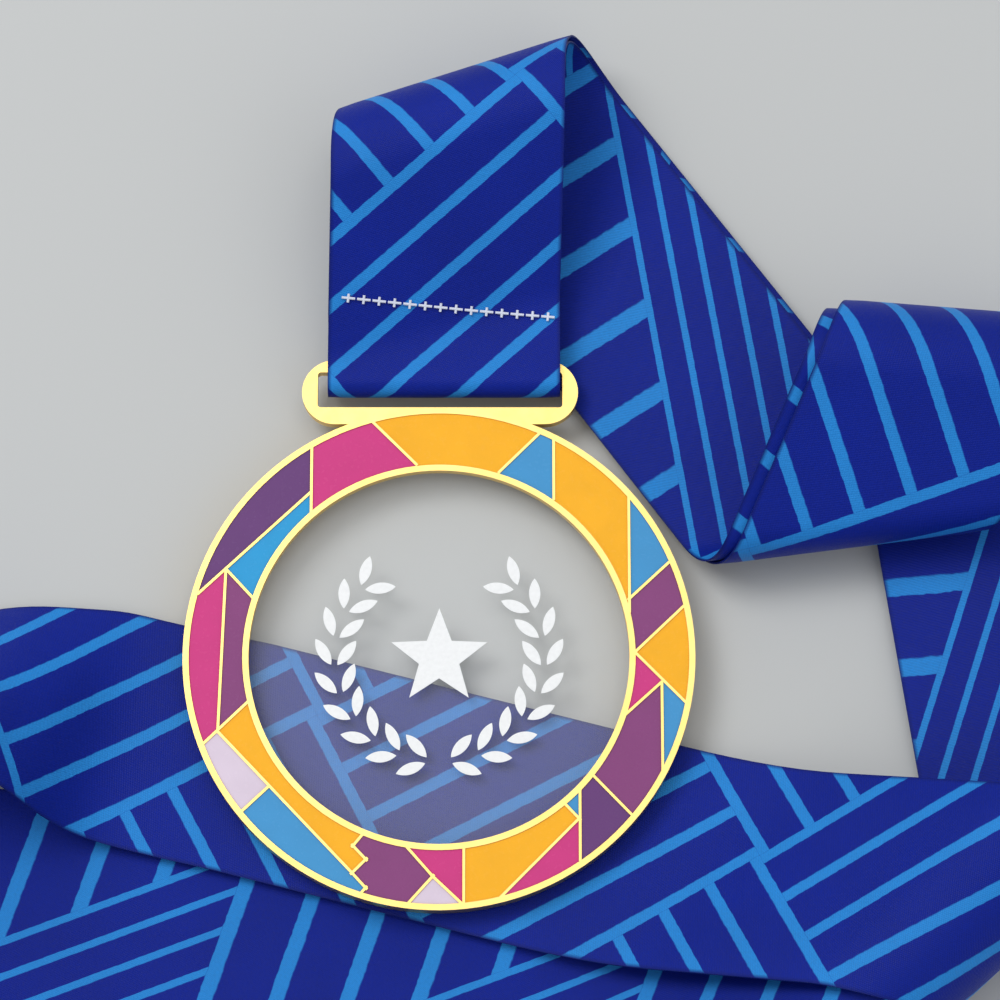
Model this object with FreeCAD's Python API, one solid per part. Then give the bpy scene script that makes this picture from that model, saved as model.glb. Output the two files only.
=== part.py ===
"""Sports finisher medal lying on its printed neck ribbon. Millimetres, +Z up.

The medal lies face up, its centre at x = y = 0 while it is built. The ribbon is one flat
strip, 35 mm wide, laid by a short list of bends, so no stretch of it is pulled longer.
At the end everything is moved so that the whole part stands on z = 0 about the origin.
"""
import FreeCAD, Part
from math import cos, degrees, hypot, radians, sin, tan
import os

V = FreeCAD.Vector
os.makedirs("parts", exist_ok=True)

# ---- medal ----
BACK_Z = 3.0            # underside of the metal, resting on the ribbon
FRAME_T = 3.5           # full thickness of the ring
RING_R = 38.0           # outer radius of the ring
HOLE_R = 28.25          # radius of the opening for the clear centre
RIM_W = 0.9             # width of each raised rim
WALL_W = 0.4            # width of the walls between colour cells
CELL_DEPTH = 1.0        # depth of the cells under the rims
ENAMEL_DROP = 0.15      # enamel surface below the rims
FACE_Z = BACK_Z + FRAME_T

DISC_R = 29.4           # clear disc, set in a rebate from the back
REBATE_R = 29.5
DISC_Z = BACK_Z + 0.1
DISC_T = 1.5
GLUE_T = 0.2            # bonding ring over the edge of the disc
GLUE_R = 28.5
PRINT_T = 0.12          # white print on the front of the disc

LOOP_W = 41.6           # slotted loop for the ribbon
LOOP_LOW = 35.6
LOOP_HIGH = 45.6
LOOP_Z = BACK_Z + 0.9
LOOP_T = 2.0
SLOT_W = 36.9
SLOT_LOW = 38.2
SLOT_HIGH = 43.7
SLOT_R = 0.5

# Walls between the colour cells, as plan lines in mm from the medal's centre.
WALLS = [
    [(-9.9, 35.6), (-3.6, 29.3)],
    [(-19.2, 31.6), (-19.2, 21.7)],
    [(-19.4, 24.8), (-35.7, 9.5)],
    [(-31.6, 12.9), (-27.9, 8.9)],
    [(-31.8, 12.8), (-32.6, -11.4)],
    [(-28.4, -7.2), (-34.8, -13.4)],
    [(-32.6, -11.5), (-12.6, -32.5)],
    [(-25.2, -19.9), (-28.9, -23.4)],
    [(-11.1, -26.8), (-12.5, -28.5), (-10.6, -30.5), (-12.6, -32.5), (-10.6, -34.7), (-11.3, -35.5)],
    [(-4.5, -28.8), (-0.8, -33.0), (3.45, -37.0)],
    [(-0.8, -33.0), (-4.4, -37.0)],
    [(3.75, -28.7), (3.75, -37.1)],
    [(20.5, -24.6), (9.3, -35.9)],
    [(20.8, -19.9), (20.8, -30.4)],
    [(18.5, -22.2), (20.7, -24.5)],
    [(22.8, -18.1), (28.2, -23.7)],
    [(33.0, -4.2), (33.0, -17.3)],
    [(32.8, -4.2), (27.4, -9.1)],
    [(29.2, 0.3), (36.6, -7.2)],
    [(29.2, 0.6), (36.4, 7.5)],
    [(28.3, 8.6), (34.3, 14.2)],
    [(28.3, 24.2), (28.3, 6.8)],
    [(17.1, 33.1), (17.1, 24.0)],
    [(15.0, 34.05), (9.0, 28.1)],
]
WALL_OVERRUN = 0.35     # walls run this far into the rims

# Colour cells by name, each with a point inside it.
CELLS = {
    "orange_top": (0, 33), "sky_top_right": (14.5, 30.5), "orange_upper_right": (21.5, 26.5),
    "sky_right": (30, 15), "plum_right": (32.3, 8.2), "orange_right": (33.5, 0.2),
    "magenta_right_inner": (29.7, -3.8), "plum_lower_right": (28.5, -13),
    "sky_right_sliver": (34.5, -9), "violet_lower_right": (23.5, -24),
    "sky_lower_right_inner": (20.1, -22.3), "orange_lower_right": (12, -29),
    "magenta_lower_right": (16.5, -31.5), "magenta_bottom": (1, -31.3),
    "lilac_bottom": (-0.8, -35.5), "plum_bottom": (-7, -32.5),
    "orange_lower_left": (-20.5, -22), "sky_lower_left": (-19.5, -29),
    "lilac_left": (-30.5, -17.5), "magenta_left": (-34.3, -1), "plum_left": (-30.7, 2),
    "blue_upper_left": (-24.5, 17.5), "violet_upper_left": (-26.5, 23.5),
    "magenta_upper_left": (-13, 30),
}

# ---- print on the disc: a wreath of leaves round a star ----
STAR_R = 7.5
STAR_INNER = 0.42       # inner corner radius as a share of the outer
WREATH_R = 15.5
LEAF_L = 4.6
LEAF_W = 1.7
LEAF_STEPS = 9
LEAF_SPLAY = 34         # degrees between a leaf and the stem
LEAF_OFF = 1.75         # leaf centre to each side of the stem
WREATH_START = 14       # degrees from the bottom to the first leaf

# ---- ribbon ----
RIBBON_W = 35.0
RIBBON_T = 0.5
STRAND_GAP = 0.8        # between the middles of the two strands lying together
FACET = 15              # degrees of bend per facet
START = V(0.6, 42.3, 7.4)
WRAP_R = 2.12           # turn round the loop's top bar
WRAP_END_Y = 46.4
# (place along the strip, slant of the bend line in degrees, turn in degrees, radius)
OUTER = [
    ("rise", 5.2, -15.9, 24.9, 10.0),
    ("first_roll", 35.0, -18.4, -206.7, 9.5),
    ("near_turn", 147.4, -29.5, -154.2, 5.5),
    ("far_roll_a", 185.7, -17.8, -96.9, 9.5),
    ("far_roll_b", 204.3, -13.5, -106.3, 9.5),
    ("right_roll", 286.65, 33.79, -214.31, 10.99),
    ("settle", 362.22, 31.51, 34.21, 35.93),
]
SHARED = 5              # bends that the inner strand follows side by side
INNER_OWN = [
    ("right_roll", 267.32, 39.44, -218.96, 9.57),
    ("settle", 336.05, 37.84, 39.07, 33.09),
]
MEDAL_RUN = 52.0        # flat length under the medal
# End of the neck loop, standing on edge: plan x, y, heading and bank in degrees, ground height
END_LOOP = [
    (-46.5, -10.4, 162, 4, 1.6),
    (-57.5, -6.8, 160, 26, 1.6),
    (-69.5, -3.8, 170, 48, 1.3),
    (-86.0, -4.0, 198, 74, 0.9),
    (-98.0, -16.0, 250, 92, 0.6),
    (-95.0, -29.0, 300, 122, 0.5),
    (-84.0, -35.0, 340, 158, 0.5),
]
FLOOR_RUN_X = -70.0     # where the floor run lies flat again
LOOP_SUBSTEPS = 3
TWISTED = ("ribbon_throat", "ribbon_loop_rise", "ribbon_loop_bend", "ribbon_loop_return")

# ---- stitching ----
THREAD_R = 0.2
THREAD_LIFT = 0.08      # thread clear of the cloth
STITCHES = 14
STITCH_FILL = 0.86      # share of each stitch step that is thread
STITCH_LEFT = (12.4, 15.6)
STITCH_RIGHT = (9.4, -17.0)
TICK_L = 1.3


def wall(a, b):
    """One straight wall between two plan points, run on at both ends."""
    dx, dy = b[0] - a[0], b[1] - a[1]
    length = hypot(dx, dy)
    box = Part.makeBox(length + 2 * WALL_OVERRUN, WALL_W, CELL_DEPTH,
                       V(-WALL_OVERRUN, -WALL_W / 2, FACE_Z - CELL_DEPTH))
    box.rotate(V(0, 0, 0), V(0, 0, 1), degrees(angle(dx, dy)))
    box.translate(V(a[0], a[1], 0))
    return box


def angle(x, y):
    """Direction of a plan vector in radians."""
    turn = V(1, 0, 0).getAngle(V(x, y, 0))
    return turn if y >= 0 else -turn


def disc(radius, low, height):
    return Part.makeCylinder(radius, height, V(0, 0, low))


def rounded_plate(width, low, high, radius, z, thick):
    """A plate with rounded corners, centred on x = 0."""
    half = width / 2
    mid = Part.makeBox(width - 2 * radius, high - low, thick, V(radius - half, low, z))
    for y in (low + radius, high - radius):
        for x in (radius - half, half - radius):
            mid = mid.fuse(Part.makeCylinder(radius, thick, V(x, y, z)))
    side = high - low - 2 * radius
    if side > 0.01:
        mid = mid.fuse(Part.makeBox(width, side, thick, V(-half, low + radius, z)))
    return mid.removeSplitter()


def build_cells(height):
    """The colour cells filled to a height: the band between the rims, parted by the walls."""
    floor = FACE_Z - CELL_DEPTH
    band = disc(RING_R - RIM_W, floor, height).cut(disc(HOLE_R + RIM_W, floor, height))
    walls = [wall(a, b) for line in WALLS for a, b in zip(line, line[1:])]
    posts = [Part.makeCylinder(WALL_W / 2, CELL_DEPTH, V(p[0], p[1], floor))
             for line in WALLS for p in line[1:-1]]
    return band.cut(walls[0].multiFuse(walls[1:] + posts)).Solids


def build_frame(pockets):
    ring = disc(RING_R, BACK_Z, FRAME_T)
    loop = rounded_plate(LOOP_W, LOOP_LOW, LOOP_HIGH, (LOOP_HIGH - LOOP_LOW) / 2 - 0.01, LOOP_Z, LOOP_T)
    slot = rounded_plate(SLOT_W, SLOT_LOW, SLOT_HIGH, SLOT_R, LOOP_Z, LOOP_T)
    body = ring.fuse(loop.cut(slot))
    body = body.cut(disc(HOLE_R, BACK_Z, FRAME_T))
    body = body.cut(disc(REBATE_R, BACK_Z, DISC_Z + DISC_T + GLUE_T - BACK_Z))
    return body.cut(Part.makeCompound(pockets)).removeSplitter()


def build_enamel():
    """One fill per cell, its surface a little under the rims."""
    cells = build_cells(CELL_DEPTH - ENAMEL_DROP)
    print("colour cells:", len(cells))
    fills = {}
    for name, (x, y) in CELLS.items():
        probe = Part.Vertex(x, y, FACE_Z - CELL_DEPTH / 2)
        fills["enamel_" + name] = min(cells, key=lambda cell: cell.distToShape(probe)[0])
    return fills


def leaf(centre, turn):
    """A pointed leaf from two arcs, its length along the given direction."""
    tip, side = V(LEAF_L / 2, 0, 0), V(0, LEAF_W / 2, 0)
    upper = Part.Arc(tip * -1, side, tip).toShape()
    lower = Part.Arc(tip, side * -1, tip * -1).toShape()
    shape = Part.Face(Part.Wire([upper, lower])).extrude(V(0, 0, PRINT_T))
    shape.rotate(V(0, 0, 0), V(0, 0, 1), turn)
    shape.translate(centre)
    return shape


def build_print():
    """Star and wreath, lying on the disc inside the bonding ring."""
    z = DISC_Z + DISC_T
    points = []
    for k in range(10):
        r = STAR_R if k % 2 == 0 else STAR_R * STAR_INNER
        a = radians(90 + 36 * k)
        points.append(V(r * cos(a), r * sin(a), z))
    pieces = [Part.Face(Part.makePolygon(points + points[:1])).extrude(V(0, 0, PRINT_T))]
    step = 142.0 / LEAF_STEPS
    for side in (-1, 1):
        for k in range(LEAF_STEPS):
            a = -90 + side * (WREATH_START + step * k)
            out = V(cos(radians(a)), sin(radians(a)), 0)
            for row in (-1, 1):
                centre = out * (WREATH_R + row * LEAF_OFF) + V(0, 0, z)
                pieces.append(leaf(centre, a + side * (90 - row * LEAF_SPLAY)))
    return Part.makeCompound(pieces)


def fold(start, heading, normal, bends):
    """Lay the strip by its bends. Returns each bend's rulings and the plane before each run.

    A ruling is a straight line across the strip: left end, right end, surface normal.
    """
    zones, planes = [], [(0.0, start, heading, normal)]
    place, origin = 0.0, start
    for _, at, slant, turn, radius in bends:
        b, th = radians(slant), radians(turn)
        sign = 1 if turn > 0 else -1
        left = normal.cross(heading)
        along = heading * sin(b) + left * cos(b)
        across = heading * cos(b) - left * sin(b)
        centre = origin + heading * (at - place)
        width = radius * abs(th)
        count = max(2, int(abs(turn) / FACET))
        rulings = []
        for k in range(count + 1):
            d = width * k / count
            phi = d / radius
            base = centre + across * (radius * sin(phi)) + normal * (sign * radius * (1 - cos(phi)))
            facing = normal * cos(phi) - across * (sign * sin(phi))
            ends = [base + along * (d * tan(b) + t / cos(b)) for t in (RIBBON_W / 2, -RIBBON_W / 2)]
            rulings.append((ends[0], ends[1], facing))
        zones.append(rulings)
        origin = (centre + along * (width * tan(b)) + across * (radius * sin(abs(th)))
                  + normal * (sign * radius * (1 - cos(th))))
        turned = across * cos(th) + normal * sin(th)
        normal = normal * cos(th) - across * sin(th)
        heading = turned * cos(b) + along * sin(b)
        place = at + width / cos(b)
        planes.append((place, origin, heading, normal))
    return zones, planes


def square_ruling(plane, distance):
    """A ruling straight across the strip, some way along a flat run."""
    _, origin, heading, normal = plane
    middle = origin + heading * distance
    left = normal.cross(heading) * (RIBBON_W / 2)
    return (middle + left, middle - left, normal)


def banked_ruling(x, y, heading, bank, ground):
    """A ruling of the end loop: plan place, heading, and the tilt of the strip on edge."""
    h, b = radians(heading), radians(bank)
    left = V(-sin(h) * cos(b), cos(h) * cos(b), sin(b))
    forward = V(cos(h), sin(h), 0)
    middle = V(x, y, ground + RIBBON_W / 2 * abs(sin(b)))
    half = left * (RIBBON_W / 2)
    return (middle + half, middle - half, forward.cross(left))


def smooth_between(rulings, steps):
    """Catmull-Rom steps through the rulings' ends, first and last kept."""
    rows = []
    for k in range(len(rulings) - 1):
        p = [rulings[max(0, min(len(rulings) - 1, k + j))] for j in (-1, 0, 1, 2)]
        for m in range(steps):
            u = m / steps
            row = []
            for part in range(3):
                a, b, c, d = [q[part] for q in p]
                row.append(b + (c - a) * (0.5 * u) + (a * 2 - b * 5 + c * 4 - d) * (0.5 * u * u)
                           + (b * 3 - a - c * 3 + d) * (0.5 * u ** 3))
            middle = (row[0] + row[1]) * 0.5
            half = (row[0] - row[1]).normalize() * (RIBBON_W / 2)
            facing = row[2] - half * (row[2].dot(half) / half.dot(half))
            rows.append((middle + half, middle - half, facing.normalize()))
    return rows + [rulings[-1]]


def quad(a, b, c, d):
    """Faces through four points in order, one if they are flat and two if not."""
    bulge = (b - a).cross(c - a)
    if bulge.Length > 1e-9 and abs((d - a).dot(bulge) / bulge.Length) < 1e-6:
        return [Part.Face(Part.makePolygon([a, b, c, d, a]))]
    return [Part.Face(Part.makePolygon([a, b, c, a])), Part.Face(Part.makePolygon([a, c, d, a]))]


def strip(rulings, twisted):
    """A closed solid of the ribbon's thickness along a row of rulings."""
    rows = []
    for left, right, facing in rulings:
        lift = facing * (RIBBON_T / 2)
        rows.append((left + lift, right + lift, right - lift, left - lift))
    if twisted:
        return Part.makeLoft([Part.makePolygon(list(row) + [row[0]]) for row in rows], True, True)
    faces = quad(*rows[0]) + quad(*reversed(rows[-1]))
    for a, b in zip(rows, rows[1:]):
        for k in range(4):
            m = (k + 1) % 4
            faces += quad(a[k], b[k], b[m], a[m])
    shell = Part.makeShell(faces)
    shell.sewShape()
    solid = Part.makeSolid(Part.Shell(shell.Faces))
    if solid.Volume < 0:
        solid.reverse()
    return solid


def surface_point(start, heading, normal, bends, s, t):
    """The place and facing of a point of the strip, s along and t to the left."""
    place, origin = 0.0, start
    _, planes = fold(start, heading, normal, bends)
    for k, (_, at, slant, turn, radius) in enumerate(bends):
        place, origin, heading, normal = planes[k]
        b, sign = radians(slant), (1 if turn > 0 else -1)
        left = normal.cross(heading)
        d = (s - at) * cos(b) - t * sin(b)
        if d <= 0:
            return origin + heading * (s - place) + left * t, normal
        if d < radius * abs(radians(turn)):
            along = heading * sin(b) + left * cos(b)
            across = heading * cos(b) - left * sin(b)
            phi = d / radius
            base = origin + heading * (at - place) + along * ((s - at) * sin(b) + t * cos(b))
            return (base + across * (radius * sin(phi)) + normal * (sign * radius * (1 - cos(phi))),
                    normal * cos(phi) - across * (sign * sin(phi)))
    place, origin, heading, normal = planes[-1]
    return origin + heading * (s - place) + normal.cross(heading) * t, normal


def build_ribbon():
    """The ribbon's stretches, from the loop out along the upper strand and back."""
    up, north = V(0, 0, 1), V(0, 1, 0)
    outer, planes = fold(START, north, up, OUTER)
    beside = planes[1]
    inner_bends, pulled = [], -beside[0]
    for name, at, slant, turn, radius in OUTER[1:SHARED]:
        inner_bends.append((name, at + pulled, slant, turn, radius - STRAND_GAP))
        pulled -= STRAND_GAP * abs(radians(turn)) / cos(radians(slant))
    inner_bends += INNER_OWN
    inner_start = beside[1] - beside[3] * STRAND_GAP
    inner, inner_planes = fold(inner_start, beside[2], beside[3], inner_bends)

    # The turn round the top bar, then up to the upper strand.
    half = V(RIBBON_W / 2, 0, 0)
    wrap = []
    for k in range(13):
        a = radians(90 + 15 * k)
        middle = START + V(0, WRAP_R * cos(a), WRAP_R * sin(a) - WRAP_R)
        wrap.append((middle - half, middle + half, V(0, cos(a), sin(a))))
    tail = V(START.x, WRAP_END_Y, START.z - 2 * WRAP_R)
    rise = inner_start - tail
    mitre = (V(0, rise.z, -rise.y).normalize() - up).normalize()
    foot = (tail - half, tail + half, mitre)
    wrap.append(foot)
    side = beside[3].cross(beside[2]) * (RIBBON_W / 2)
    first_inner = (inner_start + side, inner_start - side, beside[3])

    medal_end = square_ruling(planes[-1], MEDAL_RUN)
    _, floor_origin, floor_heading, floor_normal = inner_planes[-1]
    to_floor = (FLOOR_RUN_X - floor_origin.x) / floor_heading.x
    floor_end = square_ruling(inner_planes[-1], to_floor)
    floor_row = (floor_end[0], floor_end[1], floor_normal * -1)
    end = smooth_between([medal_end] + [banked_ruling(*row) for row in END_LOOP] + [floor_row],
                         LOOP_SUBSTEPS)
    third = len(end) // 3
    nodes = {
        "ribbon_slot_wrap": wrap,
        "ribbon_throat": [(foot[0], foot[1], mitre * -1), first_inner],
        "ribbon_front_panel": [(START - half, START + half, up)] + outer[0] + [outer[1][0]],
        "ribbon_first_roll": outer[1],
        "ribbon_lower_run": [outer[1][-1], outer[2][0]],
        "ribbon_near_turn": outer[2],
        "ribbon_upper_run": [outer[2][-1], outer[3][0]],
        "ribbon_far_roll": outer[3] + outer[4],
        "ribbon_right_run": [outer[4][-1], outer[5][0]],
        "ribbon_right_roll": outer[5],
        "ribbon_medal_run": [outer[5][-1]] + outer[6] + [medal_end],
        "ribbon_loop_rise": end[:third + 1],
        "ribbon_loop_bend": end[third:2 * third + 1],
        "ribbon_loop_return": end[2 * third:],
        "ribbon_floor_run": [floor_end] + inner[5][::-1] + [inner[4][-1]],
        "under_right_roll": inner[4],
        "under_right_run": [inner[3][-1], inner[4][0]],
        "under_far_roll": inner[2] + inner[3],
        "under_upper_run": [inner[1][-1], inner[2][0]],
        "under_near_turn": inner[1],
        "under_lower_run": [inner[0][-1], inner[1][0]],
        "under_first_roll": inner[0],
        "under_front_panel": [first_inner, inner[0][0]],
    }
    length = sum(run_length(rows) for rows in nodes.values())
    print("ribbon length along its middle, mm:", round(length))
    return {name: strip(rows, name in TWISTED) for name, rows in nodes.items()}


def run_length(rulings):
    middles = [(a + b) * 0.5 for a, b, _ in rulings]
    return sum((q - p).Length for p, q in zip(middles, middles[1:]))


def build_stitching():
    """A row of thread across the front strand, each stitch with a short cross tick."""
    def point(share):
        s = STITCH_LEFT[0] + (STITCH_RIGHT[0] - STITCH_LEFT[0]) * share
        t = STITCH_LEFT[1] + (STITCH_RIGHT[1] - STITCH_LEFT[1]) * share
        spot, facing = surface_point(START, V(0, 1, 0), V(0, 0, 1), OUTER, s, t)
        return spot + facing * (RIBBON_T / 2 + THREAD_R + THREAD_LIFT), facing

    pieces = []
    for k in range(STITCHES):
        a, facing = point(k / STITCHES)
        b, _ = point((k + STITCH_FILL) / STITCHES)
        thread = Part.makeCylinder(THREAD_R, (b - a).Length, a, b - a)
        cross = (b - a).cross(facing).normalize() * TICK_L
        tick = Part.makeCylinder(THREAD_R, TICK_L, (a + b) * 0.5 - cross * 0.5, cross)
        pieces.append(thread.fuse(tick).removeSplitter())
    return Part.makeCompound(pieces)


def build():
    nodes = {"medal_frame": build_frame(build_cells(CELL_DEPTH))}
    nodes.update(build_enamel())
    nodes["clear_disc"] = disc(DISC_R, DISC_Z, DISC_T)
    nodes["disc_adhesive"] = disc(REBATE_R, DISC_Z + DISC_T, GLUE_T).cut(
        disc(GLUE_R, DISC_Z + DISC_T, GLUE_T))
    nodes["disc_print"] = build_print()
    nodes.update(build_ribbon())
    nodes["ribbon_stitching"] = build_stitching()
    return nodes


nodes = build()
box = Part.makeCompound(list(nodes.values())).BoundBox
move = V(-(box.XMin + box.XMax) / 2, -(box.YMin + box.YMax) / 2, -box.ZMin)
print("moved by", [round(c, 3) for c in (move.x, move.y, move.z)])
print("size", [round(c, 2) for c in (box.XLength, box.YLength, box.ZLength)])
for name, shape in nodes.items():
    shape.translate(move)
    if not shape.isValid():
        print("not valid:", name)
    shape.exportStep("parts/" + name + ".step")
print("nodes:", len(nodes))
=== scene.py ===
"""Sports finisher medal on its printed ribbon. Metres, +Z up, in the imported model's frame."""
from math import ceil, cos, pi, radians, sin, tan

import bpy
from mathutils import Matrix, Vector


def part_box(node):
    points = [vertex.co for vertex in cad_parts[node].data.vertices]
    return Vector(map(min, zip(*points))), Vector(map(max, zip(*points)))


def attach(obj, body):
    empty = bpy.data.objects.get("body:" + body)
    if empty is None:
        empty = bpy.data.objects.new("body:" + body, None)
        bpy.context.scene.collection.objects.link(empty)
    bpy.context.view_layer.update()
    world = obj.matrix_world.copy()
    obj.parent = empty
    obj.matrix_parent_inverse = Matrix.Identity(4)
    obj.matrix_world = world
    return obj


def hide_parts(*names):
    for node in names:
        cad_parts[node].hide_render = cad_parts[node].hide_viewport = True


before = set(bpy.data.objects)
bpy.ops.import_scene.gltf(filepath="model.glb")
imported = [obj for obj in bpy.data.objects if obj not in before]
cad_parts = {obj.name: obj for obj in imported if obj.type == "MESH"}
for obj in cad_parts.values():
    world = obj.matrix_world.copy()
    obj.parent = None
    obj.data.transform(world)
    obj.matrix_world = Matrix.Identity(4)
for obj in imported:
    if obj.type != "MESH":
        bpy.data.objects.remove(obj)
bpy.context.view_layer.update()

# ---- where the medal is ----
disc_low, disc_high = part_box("clear_disc")
BACK_TO_DISC = 0.0031           # build height of the disc's underside
CENTRE = Vector(((disc_low.x + disc_high.x) / 2, (disc_low.y + disc_high.y) / 2,
                 disc_low.z - BACK_TO_DISC))

# ---- ribbon: the same strip and bends as the frame's, measured from the medal's centre ----
RIBBON_W = 0.035
RIBBON_T = 0.00045
EDGE_T = 0.55                   # thickness at the woven edges, as a share of the rest
STRAND_GAP = 0.0008             # between the middles of the two strands
FACET = 5                       # degrees of bend per row of the mesh
ROW = 0.003                     # longest row on a flat run
SHORTEST_ROW = 1e-5
COLUMNS = 14
SHARP = 50                      # degrees, only the ribbon's cut and woven edges are sharper
START = Vector((0.0006, 0.0423, 0.0074))
WRAP_R = 0.00212                # turn round the loop's top bar
WRAP_ROWS = 24
WRAP_END_Y = 0.0464
TAIL_FACING = Vector((0, 0.25, -0.97)).normalized()
THROAT_STEPS = 6
# Bends: place along the strip, slant of the bend line, turn in degrees, radius.
OUTER = [
    (0.0052, -15.9, 24.9, 0.010),
    (0.0350, -18.4, -206.7, 0.0095),
    (0.1474, -29.5, -154.2, 0.0055),
    (0.1857, -17.8, -96.9, 0.0095),
    (0.2043, -13.5, -106.3, 0.0095),
    (0.28665, 33.79, -214.31, 0.01099),
    (0.36222, 31.51, 34.21, 0.03593),
]
SHARED = 5                      # bends that the inner strand follows side by side
INNER_OWN = [(0.26732, 39.44, -218.96, 0.00957), (0.33605, 37.84, 39.07, 0.03309)]
MEDAL_RUN = 0.052               # flat length under the medal
# End of the neck loop: plan x, y, heading and bank in degrees, ground height.
END_LOOP = [
    (-0.0465, -0.0104, 162, 4, 0.0016),
    (-0.0575, -0.0068, 160, 26, 0.0016),
    (-0.0695, -0.0038, 170, 48, 0.0013),
    (-0.086, -0.0040, 198, 74, 0.0009),
    (-0.098, -0.0160, 250, 92, 0.0006),
    (-0.095, -0.0290, 300, 122, 0.0005),
    (-0.084, -0.0350, 340, 158, 0.0005),
]
FLOOR_RUN_X = -0.070            # where the floor run lies flat again
LOOP_STEPS = 8

# ---- colours, linear ----
DEEP_BLUE = (0.0004, 0.013, 0.27)
STRIPE_BLUE = (0.018, 0.235, 0.66)
GOLD = (1.0, 0.67, 0.19)
ENAMEL = {
    "orange": (1.0, 0.46, 0.0), "sky": (0.045, 0.30, 0.62), "blue": (0.01, 0.33, 0.68),
    "plum": (0.24, 0.045, 0.19), "violet": (0.13, 0.035, 0.18), "magenta": (0.64, 0.03, 0.22),
    "lilac": (0.74, 0.62, 0.74),
}

# ---- print and weave, mm unless said ----
STRIPE_STEP = 7.9               # between stripes
STRIPE_W = 1.75
STRIPE_BLUR = 0.10              # to each side of a stripe's edge
STRIPE_WOBBLE = 0.25
STRIPES = 6                     # steps in each block of the basket pattern
PHASE = (-1.5, 31.5)            # where the blocks begin along the two slants
PRINT_SLANT = 50.0              # degrees between the first stripes and the ribbon's edge
SELVAGE = 0.018                 # woven edge, as a share of the width
WEAVE = 0.34                    # between the fine ribs
RIB_SLANT = 0.45                # how far the ribs lean across the strip
THREAD_SLANT = 0.3
THREAD_SPREAD = 1.3             # threads' spacing as a share of the ribs'


# ================= ribbon geometry =================

def fold(start, heading, normal, bends):
    """Lay the strip by its bends: each bend's rulings, and the plane after each."""
    zones, planes = [], []
    place, origin = 0.0, start
    for at, slant, turn, radius in bends:
        b, th = radians(slant), radians(turn)
        sign = 1 if turn > 0 else -1
        left = normal.cross(heading)
        along = heading * sin(b) + left * cos(b)
        across = heading * cos(b) - left * sin(b)
        centre = origin + heading * (at - place)
        width = radius * abs(th)
        count = ceil(abs(turn) / FACET)
        rulings = []
        for k in range(count + 1):
            d = width * k / count
            phi = d / radius
            base = (centre + across * (radius * sin(phi))
                    + normal * (sign * radius * (1 - cos(phi))))
            facing = normal * cos(phi) - across * (sign * sin(phi))
            ends = [base + along * (d * tan(b) + t / cos(b))
                    for t in (RIBBON_W / 2, -RIBBON_W / 2)]
            rulings.append((ends[0], ends[1], facing))
        zones.append(rulings)
        origin = (centre + along * (width * tan(b)) + across * (radius * sin(abs(th)))
                  + normal * (sign * radius * (1 - cos(th))))
        turned = across * cos(th) + normal * sin(th)
        normal = normal * cos(th) - across * sin(th)
        heading = turned * cos(b) + along * sin(b)
        place = at + width / cos(b)
        planes.append((place, origin, heading, normal))
    return zones, planes


def square_ruling(plane, distance):
    """A ruling straight across the strip, some way along a flat run."""
    _, origin, heading, normal = plane
    middle = origin + heading * distance
    left = normal.cross(heading) * (RIBBON_W / 2)
    return (middle + left, middle - left, normal)


def banked_ruling(x, y, heading, bank, ground):
    """A ruling of the end loop, the strip standing on its edge."""
    h, b = radians(heading), radians(bank)
    left = Vector((-sin(h) * cos(b), cos(h) * cos(b), sin(b)))
    forward = Vector((cos(h), sin(h), 0))
    middle = Vector((x, y, ground + RIBBON_W / 2 * abs(sin(b))))
    half = left * (RIBBON_W / 2)
    return (middle + half, middle - half, forward.cross(left))


def smooth_between(rulings, steps):
    """Catmull-Rom rows through the rulings, each kept as wide as the ribbon."""
    rows = []
    last = len(rulings) - 1
    for k in range(last):
        p = [rulings[max(0, min(last, k + j))] for j in (-1, 0, 1, 2)]
        for m in range(steps):
            u = m / steps
            row = []
            for part in range(3):
                a, b, c, d = [q[part] for q in p]
                row.append(b + (c - a) * (0.5 * u) + (a * 2 - b * 5 + c * 4 - d) * (0.5 * u * u)
                           + (b * 3 - a - c * 3 + d) * (0.5 * u ** 3))
            middle = (row[0] + row[1]) * 0.5
            half = (row[0] - row[1]).normalized() * (RIBBON_W / 2)
            facing = row[2] - half * (row[2].dot(half) / half.length_squared)
            rows.append((middle + half, middle - half, facing.normalized()))
    return rows + [rulings[-1]]


def turned_over(rulings):
    return [(a, b, -n) for a, b, n in rulings]


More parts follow.
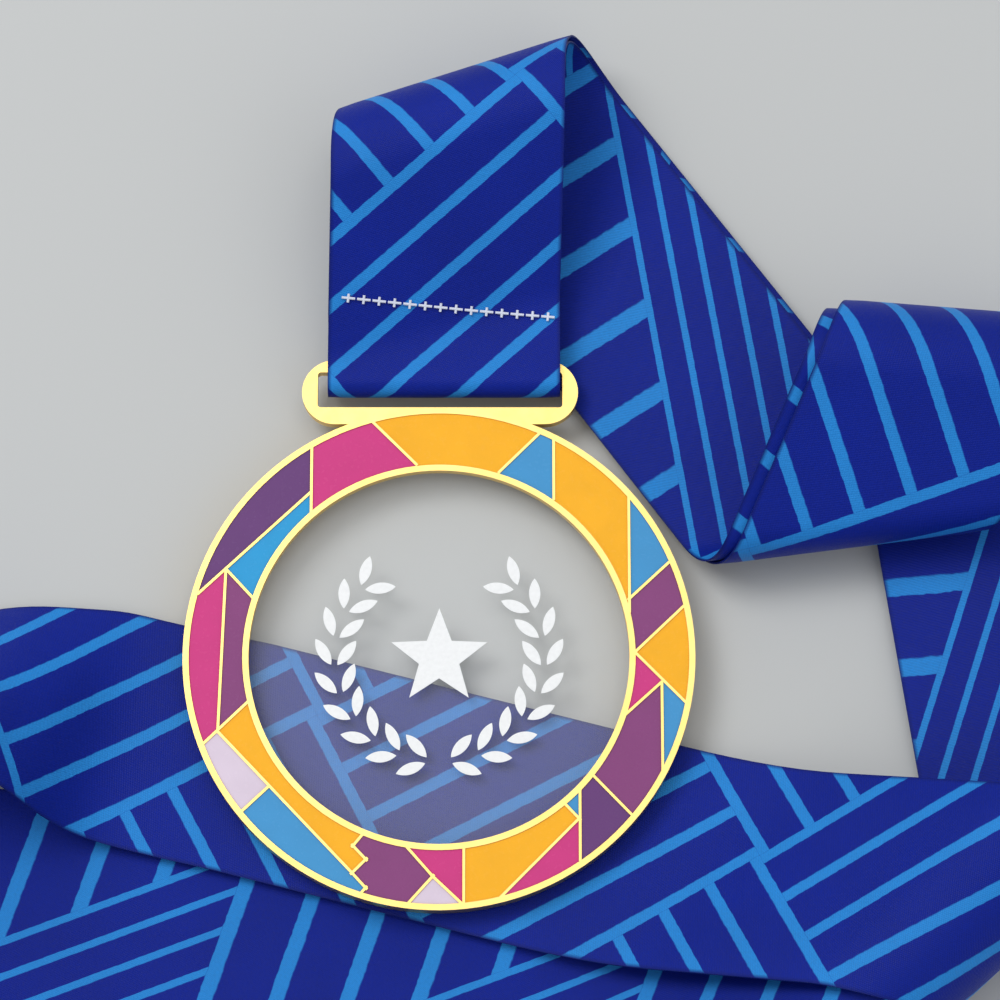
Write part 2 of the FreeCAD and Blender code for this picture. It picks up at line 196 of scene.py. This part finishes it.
def ribbon_route():
    """Rulings all the way round, from where the throat meets the under strand and back to it."""
    up, north = Vector((0, 0, 1)), Vector((0, 1, 0))
    outer, planes = fold(START, north, up, OUTER)
    place, origin, heading, normal = planes[0]
    bends, pulled = [], -place
    for at, slant, turn, radius in OUTER[1:SHARED]:
        bends.append((at + pulled, slant, turn, radius - STRAND_GAP))
        pulled -= STRAND_GAP * abs(radians(turn)) / cos(radians(slant))
    inner_start = origin - normal * STRAND_GAP
    inner, inner_planes = fold(inner_start, heading, normal, bends + INNER_OWN)
    half = Vector((RIBBON_W / 2, 0, 0))
    side = normal.cross(heading) * (RIBBON_W / 2)
    joint = (inner_start + side, inner_start - side, -normal)
    wrap = []
    for k in range(WRAP_ROWS + 1):
        a = radians(90 + 180 * k / WRAP_ROWS)
        middle = START + Vector((0, WRAP_R * cos(a), WRAP_R * sin(a) - WRAP_R))
        wrap.append((middle - half, middle + half, Vector((0, cos(a), sin(a)))))
    tail = Vector((START.x, WRAP_END_Y, START.z - 2 * WRAP_R))
    throat = smooth_between([wrap[-1], (tail - half, tail + half, TAIL_FACING), joint],
                            THROAT_STEPS)
    start = [joint] + throat[-2:0:-1] + wrap[::-1]
    medal_end = square_ruling(planes[-1], MEDAL_RUN)
    _, floor_origin, floor_heading, floor_normal = inner_planes[-1]
    floor_end = square_ruling(inner_planes[-1], (FLOOR_RUN_X - floor_origin.x) / floor_heading.x)
    floor_row = (floor_end[0], floor_end[1], -floor_normal)
    loop = smooth_between([medal_end] + [banked_ruling(*row) for row in END_LOOP] + [floor_row],
                          LOOP_STEPS)
    back = []
    for zone in reversed(inner):
        back += turned_over(reversed(zone))
    there = [ruling for zone in outer for ruling in zone]
    return start + there + loop + back + [joint]


def spaced(rulings):
    """The rulings with more rows on the long flat runs and no row twice."""
    rows = [rulings[0]]
    for ruling in rulings[1:]:
        before = rows[-1]
        far = max((ruling[0] - before[0]).length, (ruling[1] - before[1]).length)
        if far < SHORTEST_ROW:
            continue
        count = ceil(far / ROW)
        for k in range(1, count + 1):
            u = k / count
            rows.append((before[0].lerp(ruling[0], u), before[1].lerp(ruling[1], u),
                         before[2].lerp(ruling[2], u).normalized()))
    return rows


def lengths(rows):
    """How far along the cloth each row's two ends are."""
    out = [(0.0, 0.0)]
    for a, b in zip(rows, rows[1:]):
        left, right = out[-1]
        left += (b[0] - a[0]).length
        right += (b[1] - a[1]).length
        out.append((left, right))
    return out


def build_ribbon():
    """The whole ribbon as one mesh, and its length along its middle."""
    rows = spaced(ribbon_route())
    along = lengths(rows)
    near = min(range(len(rows)),
               key=lambda k: (rows[k][0].lerp(rows[k][1], 0.5) - START).length)
    print_start = sum(along[near]) / 2
    verts, faces, coords = [], [], []
    lift = RIBBON_T / 2
    for (left, right, facing), (sl, sr) in zip(rows, along):
        for j in range(COLUMNS + 1):
            u = j / COLUMNS
            point = left.lerp(right, u) + CENTRE
            edge = min(u, 1 - u) * COLUMNS
            thin = lift * (EDGE_T + (1 - EDGE_T) * min(1.0, edge))
            verts += [point + facing * thin, point - facing * thin]
            coords += [(u, (sl + (sr - sl) * u - print_start) / RIBBON_W)] * 2
    wide = 2 * (COLUMNS + 1)
    for i in range(len(rows) - 1):
        for j in range(COLUMNS):
            a = i * wide + 2 * j
            faces.append((a, a + 2, a + wide + 2, a + wide))
            faces.append((a + 1, a + wide + 1, a + wide + 3, a + 3))
        a, b = i * wide, i * wide + wide - 2
        faces.append((a, a + wide, a + wide + 1, a + 1))
        faces.append((b, b + 1, b + wide + 1, b + wide))
    last = (len(rows) - 1) * wide
    for j in range(0, 2 * COLUMNS, 2):
        faces.append((j, j + 1, j + 3, j + 2))
    for a in range(last, last + 2 * COLUMNS, 2):
        faces.append((a, a + 2, a + 3, a + 1))
    mesh = bpy.data.meshes.new("ribbon")
    mesh.from_pydata(verts, [], faces)
    layer = mesh.uv_layers.new(name="cloth")
    for face in mesh.polygons:
        reverse = all(k % 2 for k in face.vertices)
        for k in face.loop_indices:
            across, run = coords[mesh.loops[k].vertex_index]
            layer.data[k].uv = (1 - across, run) if reverse else (across, run)
    mesh.polygons.foreach_set("use_smooth", [True] * len(mesh.polygons))
    mesh.set_sharp_from_angle(angle=radians(SHARP))
    ribbon = bpy.data.objects.new("ribbon", mesh)
    bpy.context.scene.collection.objects.link(ribbon)
    return ribbon, sum(along[-1]) / 2


# ================= materials =================

class Nodes:
    """Short ways to add and link shader nodes in one material."""

    def __init__(self, name):
        self.material = bpy.data.materials.new(name)
        self.material.use_nodes = True
        self.tree = self.material.node_tree
        self.shader = self.tree.nodes["Principled BSDF"]

    def add(self, kind, **settings):
        node = self.tree.nodes.new(kind)
        for key, value in settings.items():
            setattr(node, key, value)
        return node

    def put(self, socket, value):
        if isinstance(value, bpy.types.NodeSocket):
            self.tree.links.new(value, socket)
        else:
            socket.default_value = value

    def math(self, operation, a, b=0.0):
        node = self.add("ShaderNodeMath", operation=operation)
        for socket, value in zip(node.inputs, (a, b)):
            self.put(socket, value)
        return node.outputs[0]

    def mix(self, factor, a, b):
        """Colour a where the factor is 0, b where it is 1. Inputs 6 and 7 are the colours."""
        node = self.add("ShaderNodeMix", data_type="RGBA")
        self.put(node.inputs[0], factor)
        self.put(node.inputs[6], a)
        self.put(node.inputs[7], b)
        return node.outputs[2]

    def noise(self, scale, detail):
        node = self.add("ShaderNodeTexNoise")
        node.inputs["Scale"].default_value = scale
        node.inputs["Detail"].default_value = detail
        place = self.add("ShaderNodeTexCoord").outputs["Object"]
        self.tree.links.new(place, node.inputs["Vector"])
        return node.outputs[0]

    def ramp(self, value, low, high):
        """0 at low and 1 at high, straight between."""
        node = self.add("ShaderNodeMapRange")
        for key, val in (("Value", value), ("From Min", low), ("From Max", high)):
            self.put(node.inputs[key], val)
        return node.outputs[0]

    def bump(self, height, distance, strength):
        node = self.add("ShaderNodeBump")
        node.inputs["Strength"].default_value = strength
        node.inputs["Distance"].default_value = distance
        self.tree.links.new(height, node.inputs["Height"])
        self.tree.links.new(node.outputs[0], self.shader.inputs["Normal"])

    def set(self, **values):
        """Values or links for the main shader's inputs, by name."""
        for key, value in values.items():
            self.put(self.shader.inputs[key.replace("_", " ")], value)


def rgba(colour, gain=1.0):
    return tuple(c * gain for c in colour) + (1.0,)


def cloth_material():
    """Satin ribbon printed with blocks of slanting stripes, woven in a fine twill."""
    n = Nodes("ribbon_cloth")
    uv = n.add("ShaderNodeUVMap", uv_map="cloth")
    split = n.add("ShaderNodeSeparateXYZ")
    n.put(split.inputs[0], uv.outputs[0])
    wide = RIBBON_W * 1000
    t = n.math("MULTIPLY", split.outputs[0], wide)
    s = n.math("MULTIPLY", split.outputs[1], wide)
    block = STRIPES * STRIPE_STEP + STRIPE_W
    slant = radians(PRINT_SLANT)
    wobble = n.math("MULTIPLY", n.math("SUBTRACT", n.noise(900.0, 1.0), 0.5), STRIPE_WOBBLE)
    a = n.math("ADD", n.math("MULTIPLY", s, cos(slant)), n.math("MULTIPLY", t, sin(slant)))
    b = n.math("SUBTRACT", n.math("MULTIPLY", s, sin(slant)), n.math("MULTIPLY", t, cos(slant)))
    a, b = n.math("ADD", a, PHASE[0]), n.math("ADD", b, PHASE[1])
    a, b = n.math("ADD", a, wobble), n.math("ADD", b, wobble)
    ia = n.math("FLOOR", n.math("DIVIDE", a, block))
    ib = n.math("FLOOR", n.math("DIVIDE", b, block))
    odd = n.math("FLOORED_MODULO", n.math("ADD", ia, ib), 2.0)
    ra = n.math("SUBTRACT", a, n.math("MULTIPLY", ia, block))
    rb = n.math("SUBTRACT", b, n.math("MULTIPLY", ib, block))
    chosen = n.math("ADD", n.math("MULTIPLY", ra, odd),
                    n.math("MULTIPLY", rb, n.math("SUBTRACT", 1.0, odd)))
    inside = n.math("MODULO", chosen, STRIPE_STEP)
    off = n.math("ABSOLUTE", n.math("SUBTRACT", inside, STRIPE_W / 2))
    stripe = n.ramp(off, STRIPE_W / 2 + STRIPE_BLUR, STRIPE_W / 2 - STRIPE_BLUR)
    # fine twill: slanting ribs crossed by slanting threads
    leaning = n.math("ADD", s, n.math("MULTIPLY", t, RIB_SLANT))
    rib = n.math("SINE", n.math("MULTIPLY", leaning, 2 * pi / WEAVE))
    crossing = n.math("SUBTRACT", t, n.math("MULTIPLY", s, THREAD_SLANT))
    thread = n.math("SINE", n.math("MULTIPLY", crossing, 2 * pi / (WEAVE * THREAD_SPREAD)))
    grain = n.noise(2600.0, 3.0)
    weave = n.math("ADD", n.math("MULTIPLY", n.math("MULTIPLY", rib, thread), 0.5), grain)
    patch = n.noise(60.0, 3.0)
    tone = n.math("ADD", n.math("MULTIPLY", weave, 0.35), n.math("MULTIPLY", patch, 0.35))
    light = n.ramp(tone, 0.05, 0.75)
    ground = n.mix(light, rgba(DEEP_BLUE, 0.62), rgba(DEEP_BLUE, 1.35))
    line = n.mix(light, rgba(STRIPE_BLUE, 0.75), rgba(STRIPE_BLUE, 1.3))
    edge = n.math("MINIMUM", split.outputs[0], n.math("SUBTRACT", 1.0, split.outputs[0]))
    selvage = n.ramp(edge, 0.0, SELVAGE)
    printed = n.mix(stripe, ground, line)
    final = n.mix(selvage, rgba(DEEP_BLUE, 0.55), printed)
    n.set(Base_Color=final, Roughness=n.ramp(grain, -0.9, 2.1), Sheen_Weight=0.06,
          Sheen_Roughness=0.45, Specular_IOR_Level=0.16)
    n.shader.inputs["Sheen Tint"].default_value = (0.35, 0.5, 1.0, 1.0)
    n.bump(weave, 0.00009, 0.55)
    return n.material


def gold_material():
    """Bright plating over a slightly uneven casting."""
    n = Nodes("gold_plate")
    cast = n.noise(420.0, 3.0)
    fine = n.noise(3500.0, 2.0)
    n.set(Base_Color=n.mix(cast, rgba(GOLD, 0.93), rgba((1.0, 0.73, 0.26))), Metallic=1.0,
          Roughness=n.ramp(fine, -0.9, 3.4))
    n.bump(n.math("ADD", cast, n.math("MULTIPLY", fine, 0.15)), 0.00006, 0.5)
    return n.material


def enamel_material(name, colour):
    """Soft enamel: glossy, with painted shade darkening its colour near the cell walls."""
    n = Nodes("enamel_" + name)
    # Painted shade: an ambient occlusion node darkens the enamel's base colour next to the cell
    # walls
    painted_wall_shade = n.add("ShaderNodeAmbientOcclusion", samples=8)
    painted_wall_shade.inputs["Distance"].default_value = 0.0008
    cloud = n.noise(240.0, 3.0)
    lively = n.mix(cloud, rgba(colour, 0.92), rgba(colour, 1.06))
    # darker copy of the enamel colour, used as the painted shade near the walls
    painted_shade_colour = tuple(c * c * 0.35 + c * 0.35 for c in colour)
    n.set(Base_Color=n.mix(n.ramp(painted_wall_shade.outputs["AO"], 0.45, 0.95), rgba(painted_shade_colour), lively),
          Roughness=n.ramp(n.noise(1500.0, 1.0), -1.4, 6.0), Coat_Weight=0.15,
          Coat_Roughness=0.05, Specular_IOR_Level=0.22)
    n.bump(n.math("ADD", n.noise(150.0, 1.0), n.math("MULTIPLY", n.noise(2200.0, 1.0), 0.04)),
           0.00012, 0.35)
    return n.material


def clear_material():
    """Clear acrylic: mostly open, with a faint haze and a gloss."""
    n = Nodes("clear_acrylic")
    haze = n.noise(80.0, 2.0)
    n.set(Base_Color=n.mix(haze, rgba((0.86, 0.88, 0.88)), rgba((0.93, 0.95, 0.95))),
          Roughness=n.ramp(haze, -3.0, 12.0), Specular_IOR_Level=0.5, Alpha=0.07)
    return n.material


def plain_material(name, colour, roughness, grain, distance, **more):
    """One colour with a fine grain of a given scale and height."""
    n = Nodes(name)
    speckle = n.noise(grain, 3.0)
    n.set(Base_Color=n.mix(speckle, rgba(colour, 0.9), rgba(colour, 1.05)),
          Roughness=roughness, **more)
    n.bump(speckle, distance, 0.5)
    return n.material


def dress(obj, material):
    obj.data.materials.clear()
    obj.data.materials.append(material)


def soften(obj, width):
    """Rounded edges on a CAD node, its own mesh left as it is."""
    obj.data.polygons.foreach_set("use_smooth", [True] * len(obj.data.polygons))
    obj.data.set_sharp_from_angle(angle=radians(35))
    bevel = obj.modifiers.new("edges", "BEVEL")
    bevel.width = width
    bevel.segments = 2
    bevel.limit_method = "ANGLE"
    bevel.angle_limit = radians(40)
    bevel.harden_normals = True


# ================= assembly =================

ribbon, ribbon_length = build_ribbon()
dress(ribbon, cloth_material())
cloth_nodes = [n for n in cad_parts
               if n.startswith(("ribbon_", "under_")) and n != "ribbon_stitching"]
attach(ribbon, "ribbon")
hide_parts(*cloth_nodes)

gold = gold_material()
enamel = {name: enamel_material(name, colour) for name, colour in ENAMEL.items()}
ink = plain_material("white_print", (0.92, 0.93, 0.93), 0.45, 1800.0, 0.00002)
glue = plain_material("adhesive", (0.75, 0.73, 0.66), 0.35, 900.0, 0.00003)
thread = plain_material("thread", (0.72, 0.76, 0.88), 0.7, 5200.0, 0.00008, Sheen_Weight=0.3)
acrylic = clear_material()

for name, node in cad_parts.items():
    if name == "medal_frame":
        dress(node, gold)
        soften(node, 0.00014)
    elif name.startswith("enamel_"):
        dress(node, enamel[name.split("_")[1]])
    elif name == "clear_disc":
        dress(node, acrylic)
        soften(node, 0.0001)
    elif name == "disc_adhesive":
        dress(node, glue)
    elif name == "disc_print":
        dress(node, ink)
    elif name == "ribbon_stitching":
        dress(node, thread)


# ================= stage =================

FLOOR_REACH = 4.0
VIEW_UP = radians(76)
VIEW_DISTANCE = 0.600
AIM = CENTRE + Vector((0.00904, 0.02405, 0.005))


def area_light(name, place, size, power):
    """A square softbox at a place from the medal's centre, turned to face it."""
    light = bpy.data.lights.new(name, "AREA")
    light.energy = power
    light.shape = "SQUARE"
    light.size = size
    obj = bpy.data.objects.new(name, light)
    obj.location = CENTRE + Vector(place)
    obj.rotation_euler = (-Vector(place)).to_track_quat("-Z", "Y").to_euler()
    bpy.context.scene.collection.objects.link(obj)


def build_floor():
    mesh = bpy.data.meshes.new("floor")
    r = FLOOR_REACH
    mesh.from_pydata([(-r, -r, 0), (r, -r, 0), (r, r, 0), (-r, r, 0)], [], [(0, 1, 2, 3)])
    floor = bpy.data.objects.new("floor", mesh)
    bpy.context.scene.collection.objects.link(floor)
    n = Nodes("floor")
    n.set(Base_Color=(0.56, 0.57, 0.565, 1), Roughness=0.95, Specular_IOR_Level=0.1)
    dress(floor, n.material)


build_floor()
world = bpy.data.worlds.new("studio")
world.use_nodes = True
world.node_tree.nodes["Background"].inputs[0].default_value = (0.95, 0.97, 1.0, 1)
world.node_tree.nodes["Background"].inputs[1].default_value = 0.5
bpy.context.scene.world = world
area_light("key", (-0.5, 0.35, 0.9), 0.5, 5.0)
area_light("overhead", (0.02, 0.30, 1.1), 0.8, 2.3)
area_light("fill", (0.7, -0.5, 0.8), 0.8, 0.8)

camera = bpy.data.cameras.new("camera")
camera.lens = 144
camera.sensor_width = 36
camera.clip_start, camera.clip_end = 0.01, 20
cam = bpy.data.objects.new("camera", camera)
back = Vector((0, -cos(VIEW_UP), sin(VIEW_UP)))
cam.location = AIM + back * VIEW_DISTANCE
cam.rotation_euler = (-back).to_track_quat("-Z", "Y").to_euler()
bpy.context.scene.collection.objects.link(cam)
bpy.context.scene.camera = cam
bpy.context.scene.view_settings.view_transform = "Standard"
